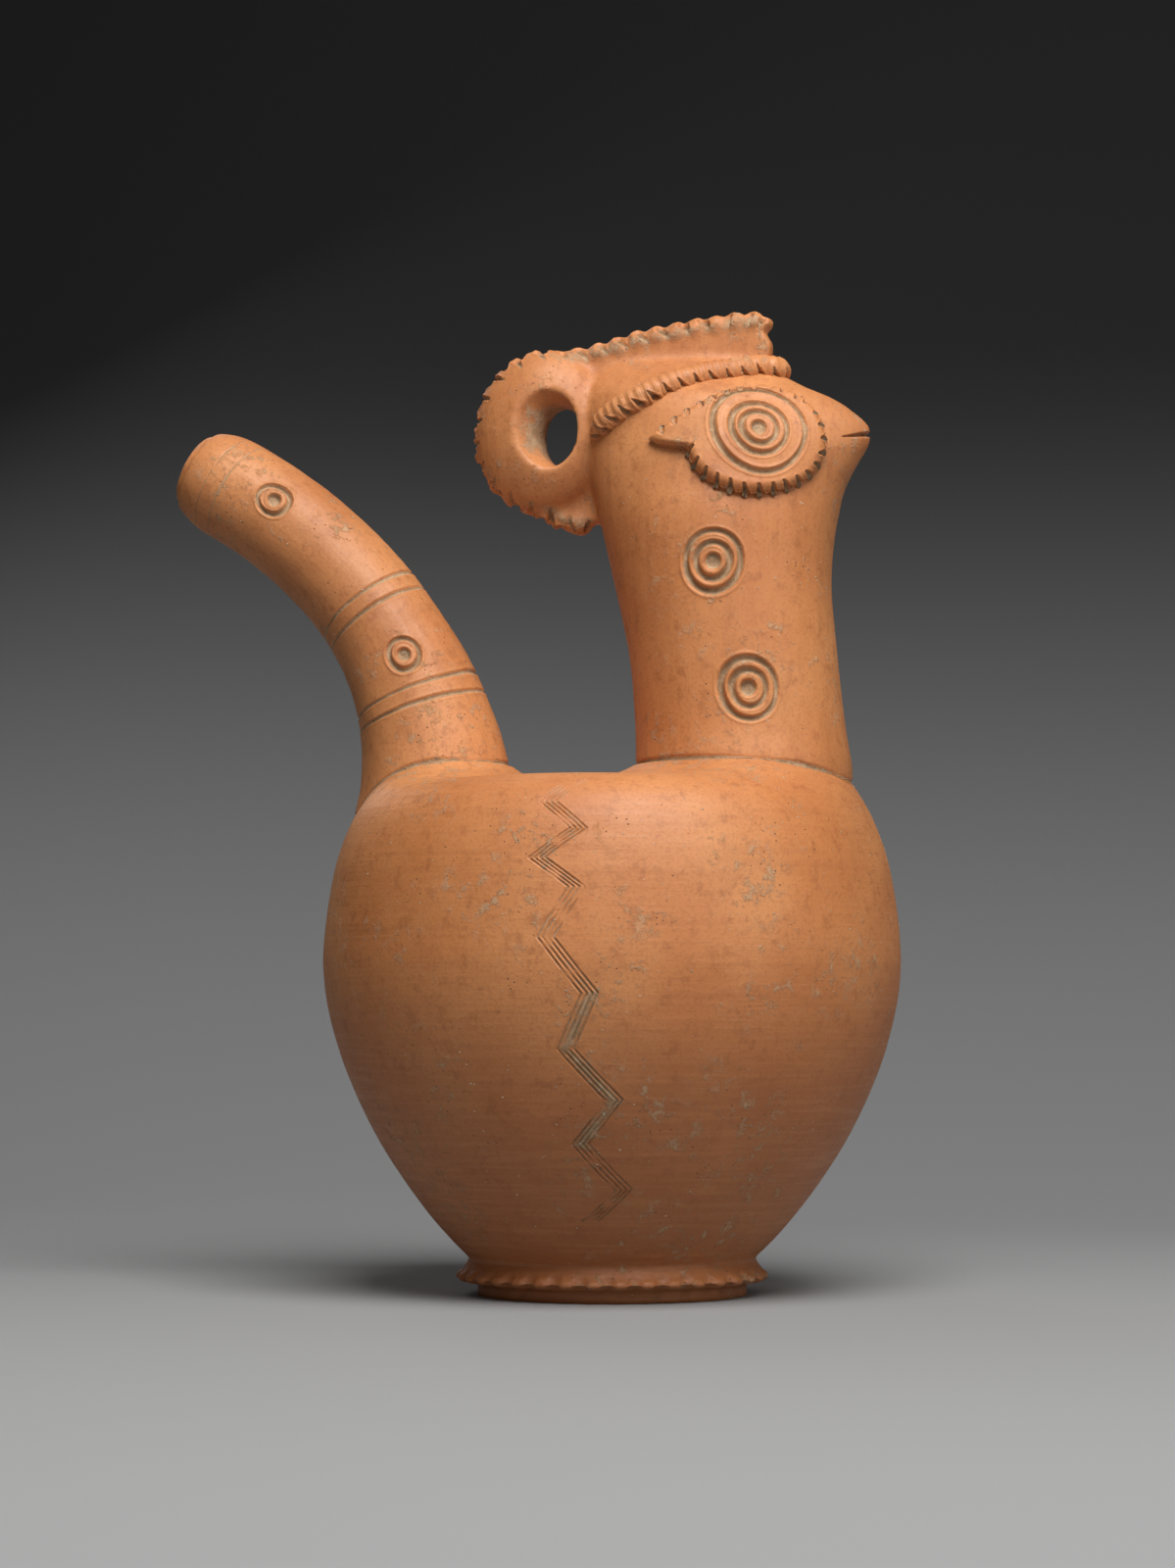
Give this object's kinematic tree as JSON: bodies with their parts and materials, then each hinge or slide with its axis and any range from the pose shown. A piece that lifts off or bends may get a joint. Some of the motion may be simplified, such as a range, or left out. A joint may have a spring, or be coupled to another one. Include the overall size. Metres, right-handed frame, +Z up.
{
  "type": "bird-shaped spouted vessel",
  "caption": "Hollow fired-clay vessel in the shape of a bird, with a crested head on a tall neck, a finger loop behind the crest, a curved tail spout and a pinched foot.",
  "frame": {"origin": "centre of the round standing face, on the floor", "axes": "+X the way the beak looks, +Z up; the tail spout leans out along -X"},
  "size_m": [0.2659, 0.205, 0.3488],
  "materials": {
    "terracotta": "burnished, unglazed orange terracotta with brown and reddish clouds, and grey-beige earth left in the stamped rings, notches and combed lines"
  },
  "bodies": {
    "root": {"vessel": "terracotta"}
  },
  "joints": []
}
